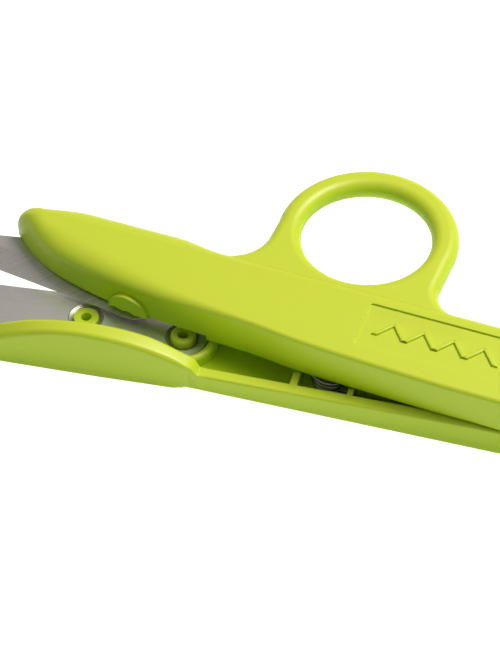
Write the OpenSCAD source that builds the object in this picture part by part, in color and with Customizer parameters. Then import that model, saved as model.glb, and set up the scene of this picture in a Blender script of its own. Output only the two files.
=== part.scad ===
// Thread snips: two plastic handle arms hinged at the tail, each carrying a
// steel blade, held open by a torsion spring. Units are millimetres, +Z is up.
// The origin is on the hinge axis, at the flat underside of the lower arm.
// The blades point to -X and the finger ring is on the +Y side.

/* [Handles] */
// Width of the two arms across the tail
grip_w = 16.8; // [16.4:0.1:17.4]
// Angle between the closed and the resting (open) ring arm, in degrees
open_deg = 5.3; // [4.8:0.1:5.4]
// Height of the top face above the underside, on the hinge axis
top_z = 12.9; // [12.6:0.1:13.4]
// Thickness of the arm walls
wall = 2.2; // [1.9:0.1:2.5]
// Thickness of the lower arm's floor in the channel
floor_t = 1.6; // [1.2:0.1:1.8]
// Thickness of the ring arm's top plate
roof_t = 2.2; // [1.6:0.1:2.6]
// Height of the joint between the two arms at the tail
parting_z = 5.65; // [5.5:0.05:5.8]
// Fall of the joint between the arms towards the blades, in degrees
parting_deg = 2.03; // [1.9:0.01:2.1]
// Gap between the two arms
arm_gap = 0.25; // [0.2:0.01:0.3]

/* [Finger ring] */
// Diameter of the finger hole
ring_hole_d = 22.6; // [20:0.1:23]
// Width of the band round the hole
ring_band_w = 4.6; // [4.2:0.1:5]
// Thickness of the band
ring_band_t = 4.1; // [3.6:0.1:4.4]
// Distance of the hole's centre from the hinge, along the arm
ring_x = 37; // [35:0.5:40]
// Thickness of plastic between the arm's side and the hole
ring_web = 1.3; // [1:0.1:2]

/* [Thumb pad] */
// Height of the pad's crest above the underside
pad_top_z = 10.2; // [9.4:0.1:10.6]
// Distance of the crest from the hinge
pad_crest_x = 75.5; // [74.5:0.5:76.5]
// Radius of the crest's long curve
pad_crest_r = 38; // [36:0.5:42]

/* [Blades] */
// Distance of the blade tips from the hinge
blade_reach = 120; // [114:0.5:124]
// Thickness of the blade steel
blade_t = 0.95; // [0.85:0.05:1]
// Height of the lower blade's flat face
blade_z = 3.2; // [3.1:0.02:3.24]
// Width of the blade's tang
tang_w = 8.4; // [7.6:0.1:8.8]
// Width of the ground bevel
bevel_w = 4.4; // [3:0.1:5]
// Thickness left at the cutting edge
edge_t = 0.12; // [0.08:0.01:0.2]
// Tilt of the ring arm that loads the blade tips together, in degrees
lean_deg = 0.9; // [0.85:0.01:0.95]

/* [Blade bosses] */
// Diameter of the moulded bosses that hold the blades
boss_d = 4.4; // [4:0.1:4.8]
// Diameter of the hole in each boss
boss_hole_d = 1.8; // [1.4:0.1:2.2]
// Diameter of the countersink round each boss
sink_d = 6.3; // [5.4:0.1:6.6]
// Height of the rear boss above the lower blade
boss_proud = 0.8; // [0.2:0.05:0.8]

/* [Return spring] */
// Wire diameter
wire_d = 0.8; // [0.6:0.05:0.8]
// Mean diameter of the coil
coil_d = 5.5; // [5.3:0.1:5.6]
// Number of turns
coil_turns = 2; // [1:1:2]

/* [Hinge] */
// Diameter of the lower arm's hollow hinge post
post_d = 6; // [5.6:0.1:6.2]
// Radial running clearance of the post in the ring arm
post_fit = 0.06; // [0.03:0.01:0.1]
// Diameter of the steel washer
washer_d = 8.4; // [8:0.1:8.6]
// Diameter of the screw's head
screw_head_d = 6; // [5.4:0.1:6.4]

/* [Hidden] */
$fn = 64;
lime = [0.72, 0.83, 0.22];
steel = [0.62, 0.62, 0.6];
bright_steel = [0.78, 0.79, 0.8];

half_w = grip_w/2;
parting_start_x = -9;           // the joint is level behind this place and falls in front of it
ring_x_at = -ring_x;
ring_r = ring_hole_d/2 + ring_band_w/2;
ring_y = half_w + ring_web + ring_hole_d/2;
ring_z = top_z - 0.5 - ring_band_t/2;
ring_side = ring_hole_d/2 + ring_band_w - 0.1;

nose_x = -96.4;                 // front of the plastic, closed
nose_r = 2.2;
// Inner edge of an arm, nose to tail, for an arm whose straight side is at +Y
inner_edge = [[-92.8, 2.3], [-90.1, 0.6], [-85.4, -1.5], [-77, -3.6], [-67, -5.1], [-58, -5.6],
    [-48, -6.15], [-40, -7.1], [-30, -7.7], [-15, -half_w + 0.1]];

seat_z = blade_z - blade_t;     // lower blade's seat
front_boss = [-78.4, 0];
rear_boss = [-61, 0];
tang_end_x = rear_boss[0] + tang_w/2;
seat_end_x = tang_end_x + 0.4;  // the blade seats end here and the channels start
tip_gap = 0.05;                 // clearance between the two blades at their tips
upper_flat_z = blade_z + tip_gap + blade_reach*sin(lean_deg);
upper_seat_z = upper_flat_z + blade_t;

channel_end_x = -7;
channel_front_x = seat_end_x - 0.1;
hinge_boss_r = 5.6;

rib_front_x = -40;
rib_rear_x = -30.3;
coil_at = [-34.8, -1.4];
coil_floor_z = floor_t + 0.05;
leg_tip = [-46.6, 2.7];
leg_tip_z = 7.6;

recess_floor_z = 10.4;
recess_r = washer_d/2 + 0.3;
washer_t = 0.6;
washer_z = recess_floor_z + 0.07;
pilot_r = 1.2;
shank_r = 1.15;
pilot_bottom_z = 2.6;

// Points of an arc about c, from angle a0 to a1 in n steps
function arc(c, r, a0, a1, n = 12) =
    [for (i = [0:n]) let (a = a0 + (a1 - a0)*i/n) c + r*[cos(a), sin(a)]];
function unit(v) = v/norm(v);

// Outline of an arm when closed, with its straight side at +Y
module arm_plan()
    polygon(concat(
        arc([0, 0], half_w, -90, 90, 24),
        arc([nose_x + nose_r, half_w - nose_r], nose_r, 90, 205, 8),
        inner_edge));

// Outline of the hollow inside an arm
module channel_plan()
    difference() {
        intersection() {
            translate([0, wall]) arm_plan();
            translate([0, -wall]) arm_plan();
            translate([channel_front_x, -half_w])
                square([channel_end_x - channel_front_x, grip_w]);
        }
        circle(r = hinge_boss_r);
    }

// Side view of the space above the joint between the arms, raised by lift, in X and Z
module above_parting_profile(lift)
    polygon([[-130, parting_z + lift - (parting_start_x + 130)*tan(parting_deg)],
        [parting_start_x, parting_z + lift], [40, parting_z + lift], [40, 60], [-130, 60]]);

module above_parting(lift)
    translate([0, 60, 0]) rotate([90, 0, 0]) linear_extrude(120) above_parting_profile(lift);

// Everything below the raised joint and behind the blade seats
module below_parting_rear(lift)
    translate([0, 60, 0]) rotate([90, 0, 0]) linear_extrude(120) difference() {
        translate([seat_end_x - 1, -20]) square([60 - seat_end_x, 60]);
        above_parting_profile(lift);
    }

// Side view of the thumb pad: a long crest with two rounded ends, drawn in X and Z
module pad_profile() {
    crest = [-pad_crest_x, pad_top_z - pad_crest_r];
    rear_r = 3.8;
    front_r = 3.5;
    rear_deg = 62.8;
    front_deg = 118.6;
    rear = crest + (pad_crest_r - rear_r)*[cos(rear_deg), sin(rear_deg)];
    front = crest + (pad_crest_r - front_r)*[cos(front_deg), sin(front_deg)];
    intersection() {
        polygon(concat(
            arc(rear, rear_r, -60, rear_deg, 10),
            arc(crest, pad_crest_r, rear_deg, front_deg, 24),
            arc(front, front_r, front_deg, 240, 10)));
        translate([-110, 0]) square([70, 20]);
    }
}

// Top view of the thumb pad, flaring outwards to its nose
module pad_plan()
    polygon([[-54, -6.1], [-58, -5.85], [-65, -5.75], [-73.4, -6.5], [-78.6, -7], [-85.4, -7.8],
        [-90.6, -8.6], [-96, -9.6], [-96, -11], [-90.6, -10.9], [-81.7, -10.35], [-72.9, -9.8],
        [-64.2, -9.1], [-60.8, -8.7], [-54, -8.3]]);

// Solid foot that joins the pad to the blade seat
module pad_foot_plan()
    polygon([[-57, -6], [-96, -6], [-96, -11], [-90.6, -10.9], [-81.7, -10.35], [-72.9, -9.8],
        [-64.2, -9.1], [-57, -8.4]]);

module thumb_pad() {
    intersection() {
        translate([0, 5, 0]) rotate([90, 0, 0]) linear_extrude(20) pad_profile();
        union() {
            linear_extrude(20) pad_plan();
            linear_extrude(seat_z) pad_foot_plan();
        }
    }
}

// Hollow boss that a blade's hole fits over, from z0 up to z1
module blade_boss(at, z0, z1)
    translate([at[0], at[1], z0]) cylinder(h = z1 - z0, d = boss_d);

module blade_boss_hole(at, z0, z1)
    translate([at[0], at[1], z0]) cylinder(h = z1 - z0, d = boss_hole_d);

// Lower arm: floor, walls, blade seat, thumb pad, spring post and hinge post
module thumb_handle() color(lime)
    difference() {
        union() {
            difference() {
                linear_extrude(8) mirror([0, 1]) arm_plan();
                above_parting(0);
                translate([0, 0, floor_t]) linear_extrude(10) mirror([0, 1]) channel_plan();
                translate([-120, -60, seat_z]) cube([120 + seat_end_x, 120, 20]);
            }
            thumb_pad();
            tang_rib();
            cross_ribs();
            translate([0, 0, 1]) cylinder(h = recess_floor_z - 0.95, d = post_d);
            translate([coil_at[0], coil_at[1], 1]) cylinder(h = 3.1, d = coil_d - wire_d - 0.5);
            blade_boss(front_boss, 1, blade_z);
            blade_boss(rear_boss, 1, blade_z + boss_proud);
        }
        blade_boss_hole(front_boss, 1.1, 9);
        blade_boss_hole(rear_boss, 1.1, 9);
        translate([coil_at[0], coil_at[1], 1.2]) cylinder(h = 9, r = 0.9);
        translate([0, 0, pilot_bottom_z]) cylinder(h = 20, r = pilot_r);
    }

// Round-ended rib that encloses the tang of the lower blade
module tang_rib() {
    inner_r = tang_w/2 + 0.25;
    rib_t = 1.6;
    intersection() {
        translate([rear_boss[0], 0, 1]) difference() {
            cylinder(h = 2.9, r = inner_r + rib_t);
            translate([0, 0, -1]) cylinder(h = 6, r = inner_r);
        }
        translate([rear_boss[0], -6, 0]) cube([12, 12, 10]);
    }
}

// Two ribs across the channel, one each side of the spring, notched for its legs
module cross_ribs()
    difference() {
        union() {
            translate([rib_front_x - 0.65, -half_w + 1, 1]) cube([1.3, 2*half_w - 3, 9]);
            translate([rib_rear_x - 0.5, -half_w + 1, 1]) cube([1, 2*half_w - 2.5, 9]);
        }
        above_parting(-0.05);
        translate([rib_front_x - 2, -3.4, 3]) cube([4, 9, 9]);
        translate([rib_rear_x - 2, coil_at[1] - coil_d/2 - 0.7, floor_t]) cube([4, 1.4, 9]);
    }

// Cross-section of the finger ring's band
module band_section() {
    flat = ring_band_w - ring_band_t;
    translate([ring_r - flat/2, 0]) circle(d = ring_band_t);
    translate([ring_r + flat/2, 0]) circle(d = ring_band_t);
    translate([ring_r - flat/2, -ring_band_t/2]) square([flat, ring_band_t]);
}

// Web that joins the ring to the arm's side, with a filleted corner at each end
module ring_web_plan() {
    front_fillet = 7;
    rear_fillet = 5;
    difference() {
        union() {
            translate([ring_x_at - ring_side, half_w - 3]) square([2*ring_side, ring_y - half_w + 3]);
            translate([ring_x_at - ring_side - front_fillet, half_w - 3])
                square([front_fillet + 1, front_fillet + 3]);
            translate([ring_x_at + ring_side - 1, half_w - 3])
                square([rear_fillet + 1, rear_fillet + 3]);
        }
        translate([ring_x_at, ring_y]) circle(r = ring_r);
        translate([ring_x_at - ring_side - front_fillet, half_w + front_fillet]) circle(r = front_fillet);
        translate([ring_x_at + ring_side + rear_fillet, half_w + rear_fillet]) circle(r = rear_fillet);
    }
}

// Finger ring on the untilted arm
module finger_ring() {
    web_t = ring_band_t - 0.6;
    translate([ring_x_at, ring_y, ring_z]) rotate_extrude($fn = 96) band_section();
    translate([0, 0, ring_z - web_t/2]) linear_extrude(web_t) ring_web_plan();
}

// One level of the crowned top, pulled in by d, and by more towards the nose
module crown_level(z, d)
    translate([0, 0, z - 0.01]) linear_extrude(0.01)
        polygon(concat(
            arc([0, 0], half_w - d, -90, 90, 24),
            [[nose_x + 8 + d, half_w - d], [nose_x + nose_r + 2.2*d, half_w - 1.2*d],
             [nose_x + 0.3 + 3*d, half_w - nose_r - 0.6*d], [-90.1 + 2.4*d, 0.6 + 1.4*d],
             [-77 + d, -3.6 + 1.5*d], [-67, -5.1 + 1.4*d], [-40, -7.1 + d], [-15, -half_w + 0.1 + d]]));

// Outside of the ring arm, untilted
module ring_arm_block() {
    edge_r = 2.2;
    intersection() {
        linear_extrude(top_z) arm_plan();
        hull() {
            crown_level(0.1, -1);
            crown_level(top_z - 1.6*edge_r, -0.2);
            crown_level(top_z - 0.3*edge_r, 0.3*edge_r);
            crown_level(top_z, edge_r);
        }
    }
}

// Gentle swelling of the nose on the finger ring's side, seen from above and up to h wide
module nose_swell_plan(h)
    polygon(concat([[-62, half_w - 1], [-92, half_w - 1]],
        [for (i = [0:12]) [-92 + 30*i/12, half_w - 0.02 + h*sin(180*i/12)]]));

module nose_swell()
    hull() {
        translate([0, 0, 1]) linear_extrude(top_z - 3.6) nose_swell_plan(1.3);
        translate([0, 0, 1]) linear_extrude(top_z - 2.2) nose_swell_plan(0.3);
    }

// Row of raised zigzag bars, as a row of machine stitching
module stitch_row() {
    bar = 0.7;
    height = 3.6;
    step = 2.6;
    for (i = [0:7])
        translate([-28.6 + i*step, 0]) polygon(i % 2 == 0
            ? [[0, -height/2], [bar, -height/2], [step + bar, height/2], [step, height/2]]
            : [[0, height/2], [step, -height/2], [step + bar, -height/2], [bar, height/2]]);
}

// Half-disc left by the mould's gate on the arm's inner side
module gate_tab()
    intersection() {
        translate([-71.2, -4.4, 6.9]) rotate([0, 0, -9]) rotate([90, 0, 0]) cylinder(h = 1.2, r = 3.8);
        translate([-80, -5.7, upper_seat_z + 0.05]) cube([20, 5.7, 10]);
    }

// Ring arm when closed, level except for the tilt that loads the blades
module ring_arm_closed()
    difference() {
        rotate([0, -lean_deg, 0]) difference() {
            union() {
                difference() {
                    union() {
                        ring_arm_block();
                        nose_swell();
                        finger_ring();
                    }
                    translate([-120, -60, -5]) cube([120 + seat_end_x, 120, 5 + upper_seat_z]);
                    translate([0, 0, -1]) linear_extrude(1 + top_z - roof_t) channel_plan();
                    translate([-30.7, -4.35, top_z - 0.35]) cube([25.2, 9.5, 2]);
                }
                translate([0, 0.4, top_z - 0.5]) linear_extrude(0.45) stitch_row();
                blade_boss(front_boss, upper_flat_z, upper_seat_z + 1);
                blade_boss(rear_boss, upper_flat_z, upper_seat_z + 1);
                gate_tab();
                spring_lug();
            }
            blade_boss_hole(front_boss, 0, upper_seat_z + 1);
            blade_boss_hole(rear_boss, 0, upper_seat_z + 1);
        }
        below_parting_rear(arm_gap);
        translate([0, 0, -1]) cylinder(h = 20, r = post_d/2 + post_fit);
        translate([0, 0, recess_floor_z]) cylinder(h = 10, r = recess_r);
    }

// Lug inside the ring arm that the spring's moving leg pushes
module spring_lug()
    translate([-51, -1.15, 6]) cube([6, 1.6, 6]);

module ring_handle() color(lime) rotate([0, 0, -open_deg]) {
    ring_arm_closed();
    open_stop();
}

// Lug that hangs into the lower channel and meets its far wall when open
module open_stop()
    translate([-21.5, 2.05, 3]) cube([3, 1.6, 8]);

// Outline of a blade with its cutting edge at +Y
module blade_plan()
    polygon(concat(
        [[-blade_reach, 0.4], [-94, -5.2], [-80, -4.9], [-68, -tang_w/2]],
        arc(rear_boss, tang_w/2, -90, 90, 16),
        [[-67, tang_w/2], [-70, 5.8]]));

// A blade with its flat face at z = 0 and its body below
module blade() {
    edge_from = [-70, 5.8];
    edge_to = [-blade_reach, 0.4];
    edge_dir = atan2(edge_from[1] - edge_to[1], edge_from[0] - edge_to[0]);
    bevel_deg = atan((blade_t - edge_t)/bevel_w);
    difference() {
        translate([0, 0, -blade_t]) linear_extrude(blade_t) blade_plan();
        translate([edge_from[0], edge_from[1], -edge_t]) rotate([0, 0, edge_dir])
            rotate([bevel_deg, 0, 0]) translate([-80, -20, -10]) cube([79, 40, 10]);
        for (at = [front_boss, rear_boss]) {
            translate([at[0], at[1], -2]) cylinder(h = 4, d = boss_d + 0.1);
            translate([at[0], at[1], -0.6]) cylinder(h = 0.61, d1 = boss_d + 0.1, d2 = sink_d);
        }
    }
}

module lower_blade() color(steel) translate([0, 0, blade_z]) blade();

module upper_blade() color(steel)
    rotate([0, 0, -open_deg]) rotate([0, -lean_deg, 0])
        translate([0, 0, upper_flat_z]) rotate([180, 0, 0]) blade();

// Route of the spring's wire: fixed leg, coil, and a moving leg that leaves the coil
// on the tangent through leg_tip and turns up there
function spring_path() =
    let (r = coil_d/2, pitch = wire_d + 0.05, z0 = coil_floor_z + wire_d/2, steps = 22,
        to_tip = leg_tip - coil_at, bend = 0.7,
        leave_deg = atan2(to_tip[1], to_tip[0]) + acos(r/norm(to_tip)),
        sweep_deg = 360*coil_turns + 270 - leave_deg,
        count = ceil(steps*sweep_deg/360),
        z1 = z0 + pitch*sweep_deg/360,
        leave = coil_at + r*[cos(leave_deg), sin(leave_deg)],
        run = unit(leg_tip - leave),
        foot = leg_tip - bend*run)
    concat(
        [for (x = [9.5, 6, 3]) [coil_at[0] + x, coil_at[1] - r, z0]],
        [for (i = [0:count]) let (a = 270 - sweep_deg*i/count)
            [coil_at[0] + r*cos(a), coil_at[1] + r*sin(a), z0 + pitch*sweep_deg/360*i/count]],
        [for (k = [0.35, 0.7]) let (p = leave + k*(foot - leave)) [p[0], p[1], z1 + 0.5*k]],
        [for (a = [-90:30:0]) let (p = foot + bend*cos(a)*run) [p[0], p[1], z1 + 0.5 + bend*(1 + sin(a))]],
        [[leg_tip[0], leg_tip[1], leg_tip_z]]);

// Sweep of a round wire along a path, with the section carried along without twist
module wire(path, d, sides = 8) {
    last = len(path) - 1;
    tangent = [for (i = [0:last]) unit(path[min(i + 1, last)] - path[max(i - 1, 0)])];
    normal = carried(tangent, 1, [unit(cross(tangent[0], [0, 0, 1]))]);
    rings = [for (i = [0:last]) for (k = [0:sides - 1])
        path[i] + d/2*(cos(360*k/sides)*normal[i] + sin(360*k/sides)*cross(tangent[i], normal[i]))];
    walls = [for (i = [0:last - 1]) for (k = [0:sides - 1])
        let (a = i*sides + k, b = i*sides + (k + 1) % sides) [a, b, b + sides, a + sides]];
    ends = [[for (k = [sides - 1:-1:0]) k], [for (k = [0:sides - 1]) last*sides + k]];
    polyhedron(rings, concat(walls, ends), convexity = 8);
}

// Normals along a path, each the last one turned square to its own tangent
function carried(tangent, i, found) =
    i == len(tangent) ? found
    : let (n = found[i - 1], t = tangent[i])
        carried(tangent, i + 1, concat(found, [unit(n - (n*t)*t)]));

module return_spring() color(bright_steel) wire(spring_path(), wire_d);

// Pan-head screw in the hinge post
module pivot_screw() color(bright_steel) {
    head_z = washer_z + washer_t;
    difference() {
        union() {
            translate([0, 0, head_z]) cylinder(h = 1, d = screw_head_d);
            translate([0, 0, head_z + 1]) cylinder(h = 0.4, d1 = screw_head_d, d2 = screw_head_d - 1.6);
            translate([0, 0, pilot_bottom_z + 0.8]) cylinder(h = head_z - pilot_bottom_z, r = shank_r);
        }
        for (a = [0, 90]) rotate([0, 0, a]) translate([-1.7, -0.35, head_z + 0.5]) cube([3.4, 0.7, 2]);
    }
}

module pivot_washer() color(bright_steel)
    translate([0, 0, washer_z]) difference() {
        cylinder(h = washer_t, d = washer_d);
        translate([0, 0, -1]) cylinder(h = 3, r = shank_r + 0.1);
    }

thumb_handle();
ring_handle();
lower_blade();
upper_blade();
return_spring();
pivot_screw();
pivot_washer();
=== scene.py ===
"""The finished look of a pair of thread snips: two lime plastic arms hinged at the tail,
two ground steel blades, a torsion spring and the hinge screw.

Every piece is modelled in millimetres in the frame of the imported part: the origin is on
the hinge axis at the flat underside, the blades point to -X, the finger ring is at +Y.
Each mesh is scaled to metres as it is finished.
"""

import logging
import math
from collections.abc import Callable, Sequence
from dataclasses import dataclass, field
from enum import Enum

import bmesh
import bpy
from mathutils import Matrix, Vector
from mathutils.geometry import interpolate_bezier

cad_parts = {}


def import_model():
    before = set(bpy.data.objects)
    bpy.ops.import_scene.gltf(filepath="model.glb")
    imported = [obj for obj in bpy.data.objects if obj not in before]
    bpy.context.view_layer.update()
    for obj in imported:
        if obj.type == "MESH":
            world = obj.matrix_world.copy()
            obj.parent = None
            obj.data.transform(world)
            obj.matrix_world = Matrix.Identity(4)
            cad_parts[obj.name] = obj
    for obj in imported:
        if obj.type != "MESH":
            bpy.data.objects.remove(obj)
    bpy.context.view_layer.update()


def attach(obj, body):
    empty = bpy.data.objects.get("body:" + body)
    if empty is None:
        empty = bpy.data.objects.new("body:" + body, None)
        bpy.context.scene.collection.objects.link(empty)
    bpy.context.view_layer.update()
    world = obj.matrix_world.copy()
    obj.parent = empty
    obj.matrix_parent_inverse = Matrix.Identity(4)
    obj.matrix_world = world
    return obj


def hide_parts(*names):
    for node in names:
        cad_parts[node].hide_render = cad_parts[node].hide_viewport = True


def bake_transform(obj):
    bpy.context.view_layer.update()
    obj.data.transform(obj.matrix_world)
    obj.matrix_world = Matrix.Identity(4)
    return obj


log = logging.getLogger("thread_snips")

MM = 0.001
Colour = tuple[float, float, float, float]
Test = Callable[[Vector], bool]
Solid = bmesh.types.BMesh
Vert = bmesh.types.BMVert
Edge = bmesh.types.BMEdge
Socket = bpy.types.NodeSocket
Inputs = dict[str | int, object]


class Body(Enum):
    """The two moving bodies of the snips."""

    THUMB_ARM = "thumb_arm"
    RING_ARM = "ring_arm"


class Slot(Enum):
    """The record's material slots."""

    PLASTIC = "lime_plastic"
    BLADE = "blade_steel"
    SPRING = "spring_steel"
    SCREW = "zinc_screw"


class Cut(Enum):
    """How a second solid changes the first."""

    JOIN = "UNION"
    REMOVE = "DIFFERENCE"


class Axis(Enum):
    """The axis that a flat outline is drawn across."""

    X = 0
    Y = 1
    Z = 2


# ---------------------------------------------------------------- outlines


def smoothstep(start: float, end: float, x: float) -> float:
    """Smooth 0 to 1 ramp of x between start and end, in either order."""
    t = min(1.0, max(0.0, (x - start) / (end - start)))
    return t * t * (3 - 2 * t)


def mix(a: float, b: float, share: float) -> float:
    """The value that lies share of the way from a to b."""
    return a + (b - a) * share


def arc(centre: Sequence[float], radius: float, start: float, end: float, steps: int) -> list[Vector]:
    """Points of an arc in the plane.

    Args:
        centre: centre of the arc.
        radius: its radius.
        start: first angle, in degrees.
        end: last angle, in degrees.
        steps: number of chords.

    Returns:
        steps + 1 points from start to end.
    """
    turns = [math.radians(mix(start, end, i / steps)) for i in range(steps + 1)]
    return [Vector((centre[0] + radius * math.cos(a), centre[1] + radius * math.sin(a))) for a in turns]


def straight(start: Sequence[float], end: Sequence[float], step: float) -> list[Vector]:
    """Evenly spaced points from start to end, about step apart, both ends included."""
    a, b = Vector(start), Vector(end)
    count = max(1, round((b - a).length / step))
    return [a.lerp(b, i / count) for i in range(count + 1)]


def curve_through(knots: Sequence[Sequence[float]], steps: int) -> list[Vector]:
    """A smooth curve through some points.

    Args:
        knots: the points, in the plane or in space.
        steps: number of chords between two neighbours.

    Returns:
        The curve's points, with every knot among them.
    """
    pts = [Vector(k).to_3d() if len(k) == 2 else Vector(k) for k in knots]
    ends = [pts[0] * 2 - pts[1], *pts, pts[-1] * 2 - pts[-2]]
    out: list[Vector] = []
    for before, a, b, after in zip(ends, ends[1:], ends[2:], ends[3:]):
        piece = interpolate_bezier(a, a + (b - before) / 6, b - (after - a) / 6, b, steps + 1)
        out.extend(piece[:-1])
    out.append(pts[-1])
    return [p.to_2d() for p in out] if len(knots[0]) == 2 else out


def value_at(knots: Sequence[Sequence[float]], x: float) -> float:
    """The height, at x, of the line through knots that run towards +X."""
    for (x0, y0), (x1, y1) in zip(knots, knots[1:]):
        if x <= x1:
            return mix(y0, y1, max(0.0, (x - x0) / (x1 - x0)))
    return knots[-1][1]


def spread(points: Sequence[Vector], apart: float) -> list[Vector]:
    """A closed outline without points that are nearer to the last one kept than apart."""
    kept = [points[0]]
    for p in points[1:]:
        if (p - kept[-1]).length > apart:
            kept.append(p)
    if (kept[-1] - kept[0]).length < apart:
        kept.pop()
    return kept


def rounded(corners: Sequence[Sequence[float]], radius: float, steps: int = 5) -> list[Vector]:
    """A closed outline with its corners rounded.

    Args:
        corners: the corners, in order.
        radius: how far each corner is cut back along its sides.
        steps: number of chords in a rounded corner.

    Returns:
        The outline's points.
    """
    pts = [Vector(c) for c in corners]
    out: list[Vector] = []
    for before, p, after in zip([pts[-1], *pts[:-1]], pts, [*pts[1:], pts[0]]):
        cut_in = min(radius, (before - p).length * 0.45)
        cut_out = min(radius, (after - p).length * 0.45)
        a = p + (before - p).normalized() * cut_in
        b = p + (after - p).normalized() * cut_out
        handles = [a, a.lerp(p, 0.55), b.lerp(p, 0.55), b]
        out.extend(q.to_2d() for q in interpolate_bezier(*[q.to_3d() for q in handles], steps + 1))
    return spread(out, 0.02)


def inset(points: Sequence[Vector], by: Sequence[float]) -> list[Vector]:
    """Moves each point of an anticlockwise outline inwards, square to the outline.

    Args:
        points: the outline.
        by: how far each point moves; negative is outwards.

    Returns:
        The moved points.
    """
    out = []
    for i, p in enumerate(points):
        before = (p - points[i - 1]).normalized()
        after = (points[(i + 1) % len(points)] - p).normalized()
        first, second = Vector((-before.y, before.x)), Vector((-after.y, after.x))
        inward = (first + second).normalized()
        out.append(p + inward * by[i] / max(0.6, inward.dot(first)))
    return out


# ---------------------------------------------------------------- solids


def at_height(points: Sequence[Vector], height: float | Callable[[float], float]) -> list[Vector]:
    """A plan outline at a height, or at a height that depends on X."""
    return [Vector((p.x, p.y, height(p.x) if callable(height) else height)) for p in points]


def ring_edges(bm: Solid, ring: Sequence[Vert]) -> list[Edge]:
    """The edges round a closed ring of vertices, made where they are missing."""
    pairs = zip(ring, [*ring[1:], ring[0]])
    return [bm.edges.get(pair) or bm.edges.new(pair) for pair in pairs]


def new_ring(bm: Solid, places: Sequence[Vector]) -> list[Vert]:
    """A closed ring of new vertices."""
    ring = [bm.verts.new(p) for p in places]
    ring_edges(bm, ring)
    return ring


def grow(bm: Solid, ring: list[Vert], levels: Sequence[Sequence[Vector]]) -> list[Vert]:
    """Extrudes a ring through a row of levels.

    Args:
        bm: the mesh.
        ring: the closed ring to start from.
        levels: where the ring's vertices go, level by level.

    Returns:
        The last ring.
    """
    for places in levels:
        made = bmesh.ops.extrude_edge_only(bm, edges=ring_edges(bm, ring))["geom"]
        new = {v for v in made if isinstance(v, Vert)}
        ring = [next(e.other_vert(v) for e in v.link_edges if e.other_vert(v) in new) for v in ring]
        for vert, place in zip(ring, places):
            vert.co = place
    return ring


def fill(bm: Solid, *rings: list[Vert], flat: bool = True) -> None:
    """Closes the area bounded by one ring, or between a ring and the rings inside it."""
    edges = [e for ring in rings for e in ring_edges(bm, ring)]
    bmesh.ops.triangle_fill(bm, use_beauty=True, use_dissolve=flat, edges=edges, normal=(0, 0, 1))


def lofted(levels: Sequence[Sequence[Vector]]) -> Solid:
    """A closed solid through a row of equal rings, with flat ends."""
    bm = bmesh.new()
    first = new_ring(bm, levels[0])
    last = grow(bm, first, levels[1:])
    for ring in (first, last):
        bmesh.ops.contextual_create(bm, geom=ring_edges(bm, ring))
    tidy(bm)
    return bm


def tidy(bm: Solid) -> None:
    """Merges doubled vertices and points the faces outwards."""
    bmesh.ops.remove_doubles(bm, verts=bm.verts, dist=0.002)
    bmesh.ops.recalc_face_normals(bm, faces=bm.faces)


def prism(points: Sequence[Sequence[float]], axis: Axis, start: float, end: float) -> Solid:
    """A solid with a flat outline.

    Args:
        points: the outline, in the two axes other than axis, in their order.
        axis: the axis it is extruded along.
        start: where it starts on that axis.
        end: where it ends.

    Returns:
        The solid.
    """
    places = []
    for u, v in points:
        place = [u, v]
        place.insert(axis.value, start)
        places.append(Vector(place))
    bm = bmesh.new()
    face = bm.faces.new([bm.verts.new(p) for p in places])
    made = bmesh.ops.extrude_face_region(bm, geom=[face])["geom"]
    shift = Vector((0, 0, 0))
    shift[axis.value] = end - start
    bmesh.ops.translate(bm, verts=[v for v in made if isinstance(v, Vert)], vec=shift)
    tidy(bm)
    return bm


def box(low: Sequence[float], high: Sequence[float], edge: float = 0.0) -> Solid:
    """A block between two corners, with its edges rounded by edge."""
    a, b = Vector(low), Vector(high)
    bm = bmesh.new()
    bmesh.ops.create_cube(bm, size=1.0)
    bmesh.ops.scale(bm, verts=bm.verts, vec=b - a)
    bmesh.ops.translate(bm, verts=bm.verts, vec=(a + b) / 2)
    if edge:
        soften(bm, list(bm.edges), edge, 3)
    return bm


def turned(profile: Sequence[Sequence[float]], centre: Sequence[float], closed: bool = False,
           steps: int = 64, sweep: float = 360.0, start: float = 0.0) -> Solid:
    """A turned solid about an upright axis.

    Args:
        profile: points (radius, height) of its section.
        centre: the axis, in plan.
        closed: whether the section is a closed ring, as on a washer.
        steps: number of chords in the sweep.
        sweep: angle of the sweep, in degrees.
        start: direction of the first section, in degrees.

    Returns:
        The solid.
    """
    bm = bmesh.new()
    verts = [bm.verts.new((r, 0, z)) for r, z in profile]
    pairs = list(zip(verts, verts[1:])) + ([(verts[-1], verts[0])] if closed else [])
    edges = [bm.edges.new(pair) for pair in pairs]
    whole = sweep >= 360
    if closed and not whole:
        bmesh.ops.contextual_create(bm, geom=edges)
    bmesh.ops.rotate(bm, verts=verts, matrix=Matrix.Rotation(math.radians(start), 3, "Z"))
    made = bmesh.ops.spin(bm, geom=[*verts, *edges], cent=(0, 0, 0), axis=(0, 0, 1), dvec=(0, 0, 0),
                          angle=math.radians(sweep), steps=steps, use_merge=whole)
    if closed and not whole:
        last = [g for g in made["geom_last"] if isinstance(g, Edge)]
        bmesh.ops.contextual_create(bm, geom=last)
    bmesh.ops.translate(bm, verts=bm.verts, vec=(centre[0], centre[1], 0))
    tidy(bm)
    return bm


def soften(bm: Solid, edges: Sequence[Edge], width: float, segments: int = 2) -> None:
    """Rounds some edges."""
    bmesh.ops.bevel(bm, geom=edges, offset=width, offset_type="OFFSET", segments=segments, profile=0.5,
                    affect="EDGES", clamp_overlap=True, material=-1)


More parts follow.
